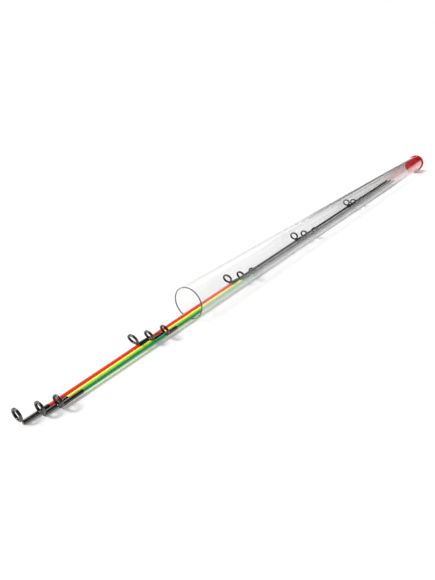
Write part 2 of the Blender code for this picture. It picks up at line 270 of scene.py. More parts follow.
# Painted reflection: the lower near side of the wall, toward the mouth, is painted milky white
# where the white floor is reflected.
painted_reflection_side = bench.between(mouth + PAINTED_REFLECTION_LENGTH, mouth, along) * underside * one_side
scuffs = bench.between(0.55, 0.8, bench.noise(place, 120.0, (0.25, 1.0, 1.0), 6.0))
drawn = bench.noise(place, 700.0, (0.01, 1.0, 1.0), 2.0)
# 0 where the wall is seen head-on, 1 where it is seen edge-on.
grazing = bench.node("ShaderNodeLayerWeight", {}, {"Blend": 0.5})["Facing"]
mirroring = HEAD_ON_MIRROR + (1.0 - HEAD_ON_MIRROR) * grazing ** MIRROR_FALLOFF
# Painted shade: a dark line where the lower wall is seen edge-on, fading out before the far end.
painted_low_line = bench.between(*LOW_LINE_FACING, grazing) * underside
painted_low_line = painted_low_line * bench.between(far_end - LOW_LINE_GONE, far_end - LOW_LINE_WHOLE, along)
# Painted shade: a faint darker band where the upper wall is seen edge-on, over the middle of the
# tube's length.
painted_high_band = bench.between(*HIGH_BAND_FACING, grazing) * (1.0 - underside)
painted_high_band = painted_high_band * bench.between(mouth + HIGH_BAND_STARTS, mouth + HIGH_BAND_WHOLE, along)
painted_high_band = painted_high_band * bench.between(far_end - HIGH_BAND_ENDS, far_end - HIGH_BAND_EASES, along)
lines = bench.bumped(drawn, 0.004 * MM, 0.4)
shine = bench.node("ShaderNodeBsdfGlossy", {}, {
    "Color": (1.0, 1.0, 1.0, 1.0),
    "Roughness": 0.02 + 0.06 * scuffs + 0.03 * drawn,
    "Normal": lines,
})
through = bench.node("ShaderNodeBsdfTransparent", {}, {"Color": CLEAR_TINT})
film = bench.node("ShaderNodeMixShader", {}, {0: mirroring, 1: through, 2: shine})
# The milky white is real haze and the painted reflection, and it gives off a faint painted glow.
milky = bench.node("ShaderNodeBsdfPrincipled", {}, {
    "Base Color": bench.mixed(drawn, MILKY_DARK, MILKY_PALE),
    "Roughness": 0.35 + 0.2 * scuffs,
    "Normal": lines,
    "Emission Color": MILKY_PALE,
    "Emission Strength": PAINTED_GLOW,
})
haze_and_painted_reflection = HAZE + SCUFF_HAZE * scuffs + PAINTED_REFLECTION * painted_reflection_side
wall = bench.node("ShaderNodeMixShader", {}, {0: haze_and_painted_reflection, 1: film, 2: milky})
# A dark surface put where there is only shade, used for all the painted shade of the tube.
painted_shade_surface = bench.node("ShaderNodeBsdfPrincipled", {}, {
    "Base Color": bench.mixed(0.2 * drawn, PAINTED_SHADE_COLOUR, MILKY_DARK),
    "Roughness": 0.3 + 0.2 * drawn,
})
# How much painted shade shows: the painted rims, the painted low line and the painted high band.
dark = bench.node("ShaderNodeMath", {"operation": "MAXIMUM"}, {
    0: RIM_STRENGTH * painted_rim_shade,
    1: LOW_LINE_STRENGTH * painted_low_line + HIGH_BAND_STRENGTH * painted_high_band,
})
pipe = bench.node("ShaderNodeMixShader", {}, {0: dark, 1: wall, 2: painted_shade_surface})
path = bench.node("ShaderNodeLightPath")
lit = LIGHT_PASSED * path["Is Shadow Ray"]
pipe = bench.node("ShaderNodeMixShader", {}, {0: lit, 1: pipe, 2: through})
bench.node("ShaderNodeOutputMaterial", {}, {"Surface": pipe})
dressed(
    "storage_tube_pipe",
    turned(tube_section, TUBE_SIDES, tube_axis),
    clear_plastic,
    "tube",
    "storage_tube",
)


# End plug: one moulding in red plastic, a slightly tapered cup that is pushed into the far end of
# the tube, closed end first, until its flange stops it. It is hollow from outside, and the mould
# left its edges round.
PLUG_FIT = 0.1 * MM
PLUG_WALL = 1.2 * MM
PLUG_TAPER = 0.3 * MM
PLUG_SIDES = 128
FLANGE_THICKNESS = 2.6 * MM
FLANGE_ROUNDING = 0.7 * MM
CUP_ROUNDING = 0.45 * MM
PLUG_RED = (0.74, 0.006, 0.014, 1.0)
PLUG_DEEP_RED = (0.58, 0.002, 0.012, 1.0)
PLUG_THROUGH = (0.90, 0.05, 0.06, 1.0)
RED_PASSED = 0.4
PLUG_GLOSS = 0.2

plug_low, plug_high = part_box("end_plug")
flange_radius = (plug_high[2] - plug_low[2]) / 2.0
cup_radius = tube_bore - PLUG_FIT
nose_radius = cup_radius - PLUG_TAPER
flange_seat = plug_high[0] - FLANGE_THICKNESS
plug_floor = plug_low[0] + PLUG_WALL
plug_section = rounded([
    (plug_low[0], 0.0, 0.0),
    (plug_low[0], nose_radius, CUP_ROUNDING),
    (flange_seat, cup_radius, 0.0),
    (flange_seat, flange_radius, FLANGE_ROUNDING / 2.0),
    (plug_high[0], flange_radius, FLANGE_ROUNDING),
    (plug_high[0], cup_radius - PLUG_WALL, CUP_ROUNDING),
    (plug_floor, nose_radius - PLUG_WALL, CUP_ROUNDING),
    (plug_floor, 0.0, 0.0),
], steps=6)

red_plastic, bench, place = started("red plastic")
cloud = bench.noise(place, 90.0, detail=4.0)
grain = bench.noise(place, 2600.0, detail=2.0)
rubbed = bench.between(0.5, 0.75, bench.noise(place, 420.0, detail=5.0))
moulded = bench.node("ShaderNodeBsdfPrincipled", {}, {
    "Base Color": bench.mixed(cloud, PLUG_DEEP_RED, PLUG_RED),
    "Roughness": 0.18 + 0.08 * rubbed + 0.05 * grain,
    "Normal": bench.bumped(grain, 0.01 * MM, 0.5),
    "Specular IOR Level": PLUG_GLOSS,
})
path = bench.node("ShaderNodeLightPath")
glowing = bench.node("ShaderNodeBsdfTransparent", {}, {"Color": PLUG_THROUGH})
lit = RED_PASSED * path["Is Shadow Ray"]
cup = bench.node("ShaderNodeMixShader", {}, {0: lit, 1: moulded, 2: glowing})
bench.node("ShaderNodeOutputMaterial", {}, {"Surface": cup})
dressed(
    "end_plug_cup",
    turned(plug_section, PLUG_SIDES, tube_axis),
    red_plastic,
    "plug",
    "end_plug",
)


# Blanks: three solid tapered rods of glass and carbon fibre, side by side in the bottom of the tube
# and sagging a little where they stand out of it. Each is painted bright from the tip-top's binding
# to its second guide, so that a bite shows, and is varnished black from there to the butt.
BLANK_LENGTH = 500.0 * MM
BLANK_FRONT = 0.9 * MM
BLANK_TIP_RADIUS = 0.84 * MM
BLANK_BUTT_RADIUS = 1.1 * MM
BLANK_TAPER = 0.8
BLANK_STEPS = 220
BLANK_SIDES = 28
BUTT_ROUNDING = 0.2 * MM
BUTT_ROUNDING_STEPS = 3
SAG_REACH = 100.0 * MM
SAG = 0.9 * MM
DRIFT = 0.6 * MM
PAINT_START = 12.8 * MM
PAINT_OVER_GUIDE = 5.0 * MM
PAINT_EDGE = 0.1 * MM
PAINT_DUST = (0.25, 0.25, 0.22, 1.0)
CARBON_BLACK = (0.009, 0.008, 0.007, 1.0)
CARBON_FIBRE = (0.036, 0.031, 0.026, 1.0)
UNLIT = (0.0, 0.0, 0.0, 1.0)
# Each tip's glow is a painted light: its enamel gives off a little light of its own colour.
TIPS = {
    "red": {
        "reach": 106.4 * MM,
        "guides": (66.7 * MM, 152.9 * MM, 249.6 * MM, 366.4 * MM),
        "front": Vector((0.95, -8.45)) * MM,
        "butt": Vector((6.0575, -5.3216)) * MM,
        "roll": math.radians(11.916),
        "glow": 0.10,
        "paint": ((0.84, 0.036, 0.008, 1.0), (0.92, 0.058, 0.014, 1.0)),
    },
    "yellow": {
        "reach": 98.6 * MM,
        "guides": (66.4 * MM, 154.8 * MM, 252.1 * MM, 367.0 * MM),
        "front": Vector((-1.4304, -8.5123)) * MM,
        "butt": Vector((3.5894, -6.3138)) * MM,
        "roll": math.radians(-8.0),
        "glow": 0.13,
        "paint": ((0.74, 0.90, 0.025, 1.0), (0.86, 0.97, 0.05, 1.0)),
    },
    "green": {
        "reach": 92.0 * MM,
        "guides": (68.2 * MM, 157.9 * MM, 259.2 * MM, 376.4 * MM),
        "front": Vector((-3.725, -7.876)) * MM,
        "butt": Vector((1.0608, -7.0724)) * MM,
        "roll": math.radians(-20.0),
        "glow": 0.10,
        "paint": ((0.0, 0.23, 0.045, 1.0), (0.002, 0.33, 0.07, 1.0)),
    },
}


def blank_radius(distance):
    """Radius of a blank at a distance from the front of its tip."""
    growth = (distance / BLANK_LENGTH) ** BLANK_TAPER
    return BLANK_TIP_RADIUS + (BLANK_BUTT_RADIUS - BLANK_TIP_RADIUS) * growth


def straight_line(tip, distance):
    """The point on the straight line from a tip's front to its butt."""
    across = tip["front"].lerp(tip["butt"], distance / BLANK_LENGTH)
    return Vector((mouth + distance - tip["reach"], across.x, axis_height + across.y))


def on_blank(tip, distance):
    """The point on a tip's sagging centre line."""
    spot = straight_line(tip, distance)
    droop = (min(spot.x - mouth, 0.0) / SAG_REACH) ** 2
    return spot + Vector((0.0, DRIFT, -SAG)) * droop


def new_tree(name, inputs):
    """A Geometry Nodes tree with these inputs, its bench and a reading of each input."""
    tree = bpy.data.node_groups.new(name, "GeometryNodeTree")
    tree.interface.new_socket(name="Geometry", in_out="OUTPUT", socket_type="NodeSocketGeometry")
    for label, kind in inputs:
        tree.interface.new_socket(name=label, in_out="INPUT", socket_type=kind)
    bench = Bench(tree)
    entry = bench.node("NodeGroupInput")
    return tree, bench, {label: entry[label] for label, kind in inputs}


def ended(bench, geometry, surface):
    """Ends a tree in real geometry with its material."""
    real = bench.node("GeometryNodeRealizeInstances", {}, {"Geometry": geometry})
    coated = bench.node("GeometryNodeSetMaterial", {}, {"Geometry": real, "Material": surface})
    bench.node("NodeGroupOutput", {}, {"Geometry": coated})


def grown(name, tree, values):
    """The plain mesh that a tree makes from these inputs."""
    carrier = bpy.data.objects.new(name, bpy.data.meshes.new(name))
    bpy.context.scene.collection.objects.link(carrier)
    modifier = carrier.modifiers.new(tree.name, "NODES")
    modifier.node_group = tree
    for socket in tree.interface.items_tree:
        if socket.in_out == "INPUT":
            modifier[socket.identifier] = values[socket.name]
    graph = bpy.context.evaluated_depsgraph_get()
    mesh = bpy.data.meshes.new_from_object(carrier.evaluated_get(graph))
    carrier.modifiers.clear()
    bpy.data.objects.remove(carrier)
    return mesh


FLOAT = "NodeSocketFloat"
COUNT = "NodeSocketInt"
VECTOR = "NodeSocketVector"
SURFACE = "NodeSocketMaterial"
blank_tree, bench, given = new_tree("tapered blank", (
    ("Front", VECTOR),
    ("Butt", VECTOR),
    ("Front radius", FLOAT),
    ("Butt radius", FLOAT),
    ("Taper", FLOAT),
    ("Mouth", FLOAT),
    ("Sag reach", FLOAT),
    ("Sag", FLOAT),
    ("Drift", FLOAT),
    ("Steps", COUNT),
    ("Sides", COUNT),
    ("Surface", SURFACE),
))
line = bench.node("GeometryNodeCurvePrimitiveLine", {}, {
    "Start": given["Front"],
    "End": given["Butt"],
})
line = bench.node("GeometryNodeResampleCurve", {}, {"Curve": line, "Count": given["Steps"]})
spot = bench.node("ShaderNodeSeparateXYZ", {}, {"Vector": bench.node("GeometryNodeInputPosition")})
outside = bench.node("ShaderNodeMath", {"operation": "MINIMUM"}, {0: spot - given["Mouth"], 1: 0.0})
droop = outside / given["Sag reach"]
droop = droop * droop
fall = bench.node("ShaderNodeCombineXYZ", {}, {
    "Y": given["Drift"] * droop,
    "Z": 0.0 - given["Sag"] * droop,
})
line = bench.node("GeometryNodeSetPosition", {}, {"Geometry": line, "Offset": fall})
share = bench.node("GeometryNodeSplineParameter")
growth = share ** given["Taper"]
radius = given["Front radius"] + (given["Butt radius"] - given["Front radius"]) * growth
ring = bench.node("GeometryNodeCurvePrimitiveCircle", {}, {
    "Resolution": given["Sides"],
    "Radius": 1.0,
})
rod = bench.node("GeometryNodeCurveToMesh", {}, {
    "Curve": line,
    "Profile Curve": ring,
    "Scale": radius,
    "Fill Caps": True,
})
ended(bench, rod, given["Surface"])


def blank_surface(name, tip):
    """Enamel from the binding to under the second guide's thread, varnished carbon after it."""
    surface, bench, place = started(f"{name} enamel and carbon")
    start = mouth + PAINT_START - tip["reach"]
    end = mouth + tip["guides"][1] + PAINT_OVER_GUIDE - tip["reach"]
    along = bench.node("ShaderNodeSeparateXYZ", {}, {"Vector": place})
    painted = bench.between(start, start + PAINT_EDGE, along)
    painted = painted * bench.between(end + PAINT_EDGE, end, along)
    patches = bench.noise(place, 150.0, (0.3, 1.0, 1.0), 4.0)
    fibres = bench.noise(place, 5200.0, (0.012, 1.0, 1.0))
    specks = bench.between(0.6, 0.72, bench.noise(place, 1900.0, detail=5.0))
    carbon = bench.mixed(fibres, CARBON_BLACK, CARBON_FIBRE)
    enamel = bench.mixed(patches, *tip["paint"])
    dulled = bench.mixed(0.08 * specks, enamel, PAINT_DUST)
    closed(
        bench,
        Base_Color=bench.mixed(painted, carbon, dulled),
        Roughness=0.30 - 0.06 * painted + 0.10 * patches + 0.12 * specks,
        Normal=bench.bumped(fibres + patches, 0.006 * MM, 0.5),
        Coat_Weight=0.3 + 0.3 * patches,
        Coat_Roughness=0.09,
        Specular_IOR_Level=0.35,
        # Painted glow: the enamel gives off light of its own colour, as if it were lit from within.
        Emission_Color=bench.mixed(painted, UNLIT, enamel),
        Emission_Strength=tip["glow"],
    )
    return surface


for name, tip in TIPS.items():
    finish = blank_surface(name, tip)
    mesh = grown(f"{name} rod", blank_tree, {
        "Front": straight_line(tip, BLANK_FRONT),
        "Butt": straight_line(tip, BLANK_LENGTH),
        "Front radius": BLANK_TIP_RADIUS,
        "Butt radius": BLANK_BUTT_RADIUS,
        "Taper": BLANK_TAPER,
        "Mouth": mouth,
        "Sag reach": SAG_REACH,
        "Sag": SAG,
        "Drift": DRIFT,
        "Steps": BLANK_STEPS,
        "Sides": BLANK_SIDES,
        "Surface": finish,
    })
    rod = dressed(
        f"tip_{name}_rod",
        mesh,
        finish,
        f"{name}_tip",
        f"tip_{name}_blank",
    )
    bevel = rod.modifiers.new("rounded ends", "BEVEL")
    bevel.limit_method = "ANGLE"
    bevel.angle_limit = math.radians(60.0)
    bevel.width = BUTT_ROUNDING
    bevel.segments = BUTT_ROUNDING_STEPS


# Guide frames: each is pressed from one piece of stainless steel and plated dark, a ring on a short
# neck that runs down into a flat, tapered foot. The foot lies along the top of the blank under the
# thread. The ring leans forward, so that a loop of line slides off it.
RING_RADIUS = 3.3 * MM
RING_RIM = 0.5 * MM
RING_DEPTH = 1.1 * MM
RING_ROUNDING = 0.18 * MM
RING_SIDES = 72
RING_LEAN = math.radians(17.0)
NECK_HEIGHT = 0.4 * MM
NECK_THICKNESS = 0.75 * MM
NECK_WIDTH = 1.05 * MM
FOOT_GAP = 0.06 * MM
FOOT_THICKNESS = 0.42 * MM
FOOT_LENGTH = 7.6 * MM
TOE_THICKNESS = 0.1 * MM
TOE_TAPER = 0.4
STRAP_SIDES = 16
STRAP_SQUARENESS = 0.5
STRAP_STEPS = 5
WRAP_START = 1.1 * MM
WRAP_LENGTH = 8.4 * MM
WRAP_END = WRAP_START + WRAP_LENGTH
FORGE_VOXEL = 0.085 * MM
FORGE_SMOOTHING = 5
FORGE_EASE = 0.5
NO_CREASE = 180.0
PLATING_DARK = (0.075, 0.068, 0.062, 1.0)
PLATING_PALE = (0.170, 0.158, 0.148, 1.0)
BARE_STEEL = (0.42, 0.41, 0.38, 1.0)

gunmetal, bench, place = started("dark plated steel")
plating = bench.noise(place, 800.0, detail=4.0)
polish = bench.noise(place, 5200.0)
bare = bench.between(0.62, 0.78, bench.noise(place, 1500.0, detail=6.0))
metal = bench.mixed(plating, PLATING_DARK, PLATING_PALE)
closed(
    bench,
    Base_Color=bench.mixed(0.5 * bare, metal, BARE_STEEL),
    Metallic=1.0 - 0.1 * plating,
    Roughness=0.24 + 0.14 * plating + 0.08 * bare,
    Normal=bench.bumped(polish, 0.004 * MM, 0.6),
)


def seat(tip, distance, length):
    """Frame of a piece on the blank from this distance on: X along it, Z up through the rings."""
    start = on_blank(tip, distance)
    along = (on_blank(tip, distance + length) - start).normalized()
    up = Vector((0.0, math.sin(tip["roll"]), math.cos(tip["roll"])))
    up = (up - along * up.dot(along)).normalized()
    turn = Matrix((along, up.cross(along), up)).transposed().to_4x4()
    return Matrix.Translation(start) @ turn


def leaned(lean, rise):
    """Place of a ring over the blank, its top toward -X."""
    up = Vector((-math.sin(lean), 0.0, math.cos(lean)))
    return Matrix.Translation(up * rise) @ Matrix.Rotation(-lean, 4, "Y")


def ring_rise(seat_top, lean):
    """Distance of a ring's centre from the blank's axis, along the leaning ring."""
    return (seat_top + NECK_HEIGHT) / math.cos(lean) + RING_RADIUS


def ring_shell(depth, place):
    """The rim that holds the insert, with rounded edges."""
    half = depth / 2.0
    bore = RING_RADIUS - RING_RIM
    corners = [(-half, bore), (-half, RING_RADIUS), (half, RING_RADIUS), (half, bore)]
    section = rounded([(along, out, RING_ROUNDING) for along, out in corners])
    return turned(section, RING_SIDES, place)


def strap(stations):
    """A strip through (along, height, width, thickness) stations, with rounded corners."""
    bm = bmesh.new()
    rows = []
    for index, (along, height, width, thickness) in enumerate(stations):
        before = Vector(stations[max(index - 1, 0)][:2])
        after = Vector(stations[min(index + 1, len(stations) - 1)][:2])
        ahead = (after - before).normalized()
        across = Vector((-ahead.y, ahead.x))
        row = []
        for corner in range(STRAP_SIDES):
            angle = math.tau * (corner + 0.5) / STRAP_SIDES
            flat, deep = math.cos(angle), math.sin(angle)
            side = math.copysign(abs(flat) ** STRAP_SQUARENESS, flat) * width / 2.0
            rise = math.copysign(abs(deep) ** STRAP_SQUARENESS, deep) * thickness / 2.0
            row.append(bm.verts.new((along + across.x * rise, side, height + across.y * rise)))
        rows.append(row)
    for row, following in zip(rows, rows[1:]):
        for index in range(STRAP_SIDES):
            beside = (index + 1) % STRAP_SIDES
            bm.faces.new((row[index], row[beside], following[beside], following[index]))
    bm.faces.new(rows[0])
    bm.faces.new(rows[-1])
    bmesh.ops.recalc_face_normals(bm, faces=bm.faces)
    return bm


def bent(points, steps):
    """Stations along a smooth path through these, closer than they are."""
    path = []
    count = len(points)
    for index in range(count - 1):
        near = [Vector(points[min(max(index + shift, 0), count - 1)]) for shift in (-1, 0, 1, 2)]
        for step in range(steps):
            t = step / steps
            path.append(tuple(
                0.5 * (2.0 * b + (c - a) * t + (2.0 * a - 5.0 * b + 4.0 * c - d) * t**2
                       + (3.0 * b - a - 3.0 * c + d) * t**3)
                for a, b, c, d in zip(*near)
            ))
    path.append(tuple(points[-1]))
    return path


def forged(name, shells):
    """Closed shells run together into one body with soft inner corners, as a pressing has."""
    whole = bmesh.new()
    for shell in shells:
        part = bpy.data.meshes.new("part of a pressing")
        shell.to_mesh(part)
        shell.free()
        whole.from_mesh(part)
        bpy.data.meshes.remove(part)
    mesh = bpy.data.meshes.new(name)
    whole.to_mesh(mesh)
    whole.free()
    carrier = bpy.data.objects.new(name, mesh)
    bpy.context.scene.collection.objects.link(carrier)
    union = carrier.modifiers.new("one body", "REMESH")
    union.mode = "VOXEL"
    union.voxel_size = FORGE_VOXEL
    ease = carrier.modifiers.new("soft corners", "SMOOTH")
    ease.factor = FORGE_EASE
    ease.iterations = FORGE_SMOOTHING
    graph = bpy.context.evaluated_depsgraph_get()
    body = bpy.data.meshes.new_from_object(carrier.evaluated_get(graph))
    bpy.data.objects.remove(carrier)
    bpy.data.meshes.remove(mesh)
    return body


def guide_shells(radius):
    """Ring, neck and foot of a single-foot guide on a blank of this radius."""
    floor = radius + FOOT_GAP / 3.0
    top = radius + FOOT_GAP + FOOT_THICKNESS
    rise = ring_rise(top, RING_LEAN)
    slant = math.tan(RING_LEAN)
    root = top + NECK_HEIGHT + RING_RIM / 2.0
    middle = (floor + top) / 2.0
    instep = NECK_WIDTH * 0.72
    toe = NECK_WIDTH * TOE_TAPER
    stations = bent([
        (-root * slant, root, NECK_WIDTH * 1.5, NECK_THICKNESS),
        (-(top + NECK_HEIGHT) * slant, top + NECK_HEIGHT, NECK_WIDTH * 1.1, NECK_THICKNESS * 0.9),
        (-top * slant + 0.02 * MM, top + 0.08 * MM, NECK_WIDTH, NECK_THICKNESS * 0.9),
        (-top * slant + 0.28 * MM, middle + 0.08 * MM, NECK_WIDTH, FOOT_THICKNESS * 1.2),
        (0.9 * MM, middle, NECK_WIDTH, FOOT_THICKNESS),
        (FOOT_LENGTH / 2.0, floor + FOOT_THICKNESS * 0.33, instep, FOOT_THICKNESS * 0.62),
        (FOOT_LENGTH, floor + TOE_THICKNESS, toe, TOE_THICKNESS * 1.6),
    ], STRAP_STEPS)
    return [ring_shell(RING_DEPTH, leaned(RING_LEAN, rise)), strap(stations)]


for name, tip in TIPS.items():
    for number, distance in enumerate(tip["guides"], start=1):
        node = f"tip_{name}_guide_{number}_frame"
        pressing = forged(node, guide_shells(blank_radius(distance + WRAP_END)))
        pressing.transform(seat(tip, distance, WRAP_END))
        dressed(
            f"{node}_pressing",
            pressing,
            gunmetal,
            f"{name}_tip",
            node,
            crease=NO_CREASE,
        )


# Tip-top frames: the same ring, brazed to the top of a short steel tube with a closed front. The
# tube slides over the thin end of the blank and is glued there.
TOP_RING_DEPTH = 1.0 * MM
TOP_RING_LEAN = math.radians(2.0)
TOP_TUBE_START = 0.7 * MM
TOP_TUBE_END = 7.0 * MM
TOP_TUBE_RADIUS = 1.05 * MM
TOP_TUBE_SIDES = 32
TOP_TUBE_ROUNDING = 0.3 * MM
TOP_NECK_WIDTH = 0.95 * MM
TOP_NECK_THICKNESS = 0.6 * MM
BINDING_START = 7.06 * MM
BINDING_LENGTH = 6.1 * MM
TOP_REACH = TOP_TUBE_END + BINDING_LENGTH

top_rise = ring_rise(TOP_TUBE_RADIUS, TOP_RING_LEAN)


def top_shells():
    """Ring, neck and closed tube of a tip-top."""
    tube = rounded([
        (TOP_TUBE_START, 0.0, 0.0),
        (TOP_TUBE_START, TOP_TUBE_RADIUS, TOP_TUBE_ROUNDING),
        (TOP_TUBE_END, TOP_TUBE_RADIUS, TOP_TUBE_ROUNDING / 3.0),
        (TOP_TUBE_END, 0.0, 0.0),
    ])
    slant = math.tan(TOP_RING_LEAN)
    root = TOP_TUBE_RADIUS + NECK_HEIGHT + RING_RIM / 2.0
    brazed = TOP_TUBE_START + TOP_NECK_THICKNESS / 2.0
    wide, thick = TOP_NECK_WIDTH, TOP_NECK_THICKNESS
    neck = bent([
        (-root * slant, root, wide * 1.4, thick * 1.2),
        (-0.1 * MM, TOP_TUBE_RADIUS + NECK_HEIGHT * 0.8, wide, thick),
        (brazed * 0.7, TOP_TUBE_RADIUS + NECK_HEIGHT * 0.1, wide, thick * 1.1),
        (brazed + 0.35 * MM, TOP_TUBE_RADIUS * 0.6, wide * 1.05, thick * 1.2),
    ], STRAP_STEPS)
    return [
        ring_shell(TOP_RING_DEPTH, leaned(TOP_RING_LEAN, top_rise)),
        turned(tube, TOP_TUBE_SIDES, Matrix()),
        strap(neck),
    ]


for name, tip in TIPS.items():
    node = f"tip_{name}_top_frame"
    brazing = forged(node, top_shells())
    brazing.transform(seat(tip, 0.0, TOP_REACH))
    dressed(
        f"{node}_brazing",
        brazing,
        gunmetal,
        f"{name}_tip",
        node,
        crease=NO_CREASE,
    )


# Ring inserts: hard, polished black ceramic liners, pressed into every ring. The line runs over
# their rounded bore, and their lips cover most of the ring's front and back.
INSERT_BORE = 2.24 * MM
INSERT_LIP = 2.96 * MM
INSERT_PROUD = 0.12 * MM
INSERT_FIT = 0.03 * MM
INSERT_SIDES = 80
LIP_PROFILE = (
    (0.94, 0.03 * MM),
    (1.00, 0.14 * MM),
    (0.99, 0.30 * MM),
    (0.91, 0.45 * MM),
    (0.72, 0.60 * MM),
)
CERAMIC_IOR = 1.55
CERAMIC_BLACK = (0.006, 0.006, 0.007, 1.0)
CERAMIC_GREY = (0.017, 0.017, 0.018, 1.0)

ceramic, bench, place = started("black ceramic")
mottle = bench.noise(place, 900.0)
swirls = bench.between(0.58, 0.7, bench.noise(place, 3800.0, detail=5.0))
closed(
    bench,
    Base_Color=bench.mixed(mottle, CERAMIC_BLACK, CERAMIC_GREY),
    Roughness=0.08 + 0.07 * mottle + 0.16 * swirls,
    Normal=bench.bumped(swirls, 0.002 * MM, 0.4),
    IOR=CERAMIC_IOR,
)


def insert_shell(depth, place):
    """A liner for a ring of this depth: a lip on each side and a crowned bore between them."""
    half = depth / 2.0
    proud = half + INSERT_PROUD
    side = [
        (half * 0.98, RING_RADIUS - RING_RIM - INSERT_FIT),
        (half + 0.02 * MM, INSERT_LIP),
        *((proud * share, INSERT_LIP - inward) for share, inward in LIP_PROFILE),
        (proud * 0.40, INSERT_BORE + 0.03 * MM),
    ]
    crown = [(0.0, INSERT_BORE)]
    other_side = [(-along, out) for along, out in reversed(side)]
    return turned(side + crown + other_side, INSERT_SIDES, place)


for name, tip in TIPS.items():
    rings = {f"tip_{name}_top_ring": (
        TOP_RING_DEPTH,
        seat(tip, 0.0, TOP_REACH) @ leaned(TOP_RING_LEAN, top_rise),
    )}
    for number, distance in enumerate(tip["guides"], start=1):
        seat_top = blank_radius(distance + WRAP_END) + FOOT_GAP + FOOT_THICKNESS
        rise = ring_rise(seat_top, RING_LEAN)
        place = seat(tip, distance, WRAP_END) @ leaned(RING_LEAN, rise)
        rings[f"tip_{name}_guide_{number}_ring"] = (RING_DEPTH, place)
    for node, (depth, place) in rings.items():
        liner = insert_shell(depth, place)
        dressed(f"{node}_liner", liner, ceramic, f"{name}_tip", node)


# Whippings and bindings: fine black thread wound tight, turn against turn, over each guide's foot
# and behind the tip-top's tube. Clear lacquer seals it and fills the valleys between the turns,
# which still show in it as low ribs.
THREAD_PITCH = 0.16 * MM
THREAD_BUILD = 0.15 * MM
THREAD_RIB = 0.035 * MM
LACQUER_END = 0.7 * MM
LACQUER_END_SHARE = 0.4
THREAD_CREASE = 75.0
STEPS_PER_TURN = 6
WRAP_SIDES = 40
FOOT_EDGE = 0.52 * MM
THREAD_BLACK = (0.006, 0.006, 0.006, 1.0)
THREAD_GREY = (0.020, 0.019, 0.018, 1.0)

lacquer, bench, place = started("lacquered black thread")
twist = bench.noise(place, 7000.0, (0.5, 1.0, 1.0), 2.0)
pools = bench.noise(place, 650.0)
dust = bench.between(0.6, 0.75, bench.noise(place, 3200.0, detail=5.0))
closed(
    bench,
    Base_Color=bench.mixed(twist, THREAD_BLACK, THREAD_GREY),
    Roughness=0.12 + 0.10 * pools + 0.15 * dust,
    Normal=bench.bumped(pools + 0.3 * twist, 0.008 * MM, 0.5),
    Coat_Weight=0.4 + 0.3 * pools,
    Coat_Roughness=0.06,
)

wrap_tree, bench, given = new_tree("wound thread", (
    ("Length", FLOAT),
    ("Start", FLOAT),
    ("Pitch", FLOAT),
    ("Build", FLOAT),
    ("Rib", FLOAT),
    ("Rod radius", FLOAT),
    ("Foot length", FLOAT),
    ("Foot half width", FLOAT),
    ("Toe half width", FLOAT),
    ("Foot top", FLOAT),
    ("Toe top", FLOAT),
    ("End length", FLOAT),
    ("End share", FLOAT),
    ("Sides", COUNT),
    ("Steps", COUNT),
    ("Surface", SURFACE),
))


def joined(operation, *values):
    """A Math node on these values, for what has no operator."""
    return bench.node("ShaderNodeMath", {"operation": operation}, dict(enumerate(values)))


roll = bench.node("GeometryNodeMeshCylinder", {}, {
    "Vertices": given["Sides"],
    "Side Segments": given["Steps"],
    "Radius": 1.0,
    "Depth": 1.0,
})
spot = bench.node("ShaderNodeSeparateXYZ", {}, {"Vector": bench.node("GeometryNodeInputPosition")})
along = (spot["Z"] + 0.5) * given["Length"]
turn = joined("ARCTAN2", spot["Y"], spot["X"])
off_top = joined("ABSOLUTE", turn)
left = joined("MAXIMUM", 1.0 - (along + given["Start"]) / given["Foot length"], 0.0)
nearer_end = joined("MINIMUM", along, given["Length"] - along)
from_ends = joined("MINIMUM", nearer_end / given["End length"], 1.0)
eased = from_ends * (2.0 - from_ends)
rib = joined("ABSOLUTE", joined("SINE", math.pi * (along / given["Pitch"] + turn / math.tau)))
build = given["Build"] * (given["End share"] + (1.0 - given["End share"]) * eased)
build = build - given["Rib"] * eased + given["Rib"] * eased * rib
reach = given["Rod radius"] + build
side = given["Toe half width"] + (given["Foot half width"] - given["Toe half width"]) * left + build
top = given["Toe top"] + (given["Foot top"] - given["Toe top"]) * left + build
corner = joined("ARCTAN2", side, top)
corner_out = joined("SQRT", side * side + top * top)
touch = corner + joined("ARCCOSINE", joined("MINIMUM", reach / corner_out, 1.0))
lid = top / joined("COSINE", joined("MINIMUM", off_top, corner))
flank = reach / joined("COSINE", joined("MAXIMUM", touch - off_top, 0.0))
past_corner = joined("GREATER_THAN", off_top, corner)
out = lid + (flank - lid) * past_corner
wound = bench.node("ShaderNodeCombineXYZ", {}, {
    "X": given["Start"] + along,
    "Y": out * joined("SINE", turn),
    "Z": out * joined("COSINE", turn),
})
roll = bench.node("GeometryNodeSetPosition", {}, {"Geometry": roll, "Position": wound})
ended(bench, roll, given["Surface"])


def wrap(node, body, place, sizes):
    """One winding of thread, put in its place on the blank."""
    turns = round(sizes["Length"] / THREAD_PITCH)
    mesh = grown(node, wrap_tree, {
        "Pitch": THREAD_PITCH,
        "Build": THREAD_BUILD,
        "Rib": THREAD_RIB,
        "Foot length": FOOT_LENGTH,
        "End length": LACQUER_END,
        "End share": LACQUER_END_SHARE,
        "Sides": WRAP_SIDES,
        "Steps": turns * STEPS_PER_TURN,
        "Surface": lacquer,
        **sizes,
    })
    mesh.transform(place)
    mesh.flip_normals()
    dressed(f"{node}_thread", mesh, lacquer, body, node, crease=THREAD_CREASE)


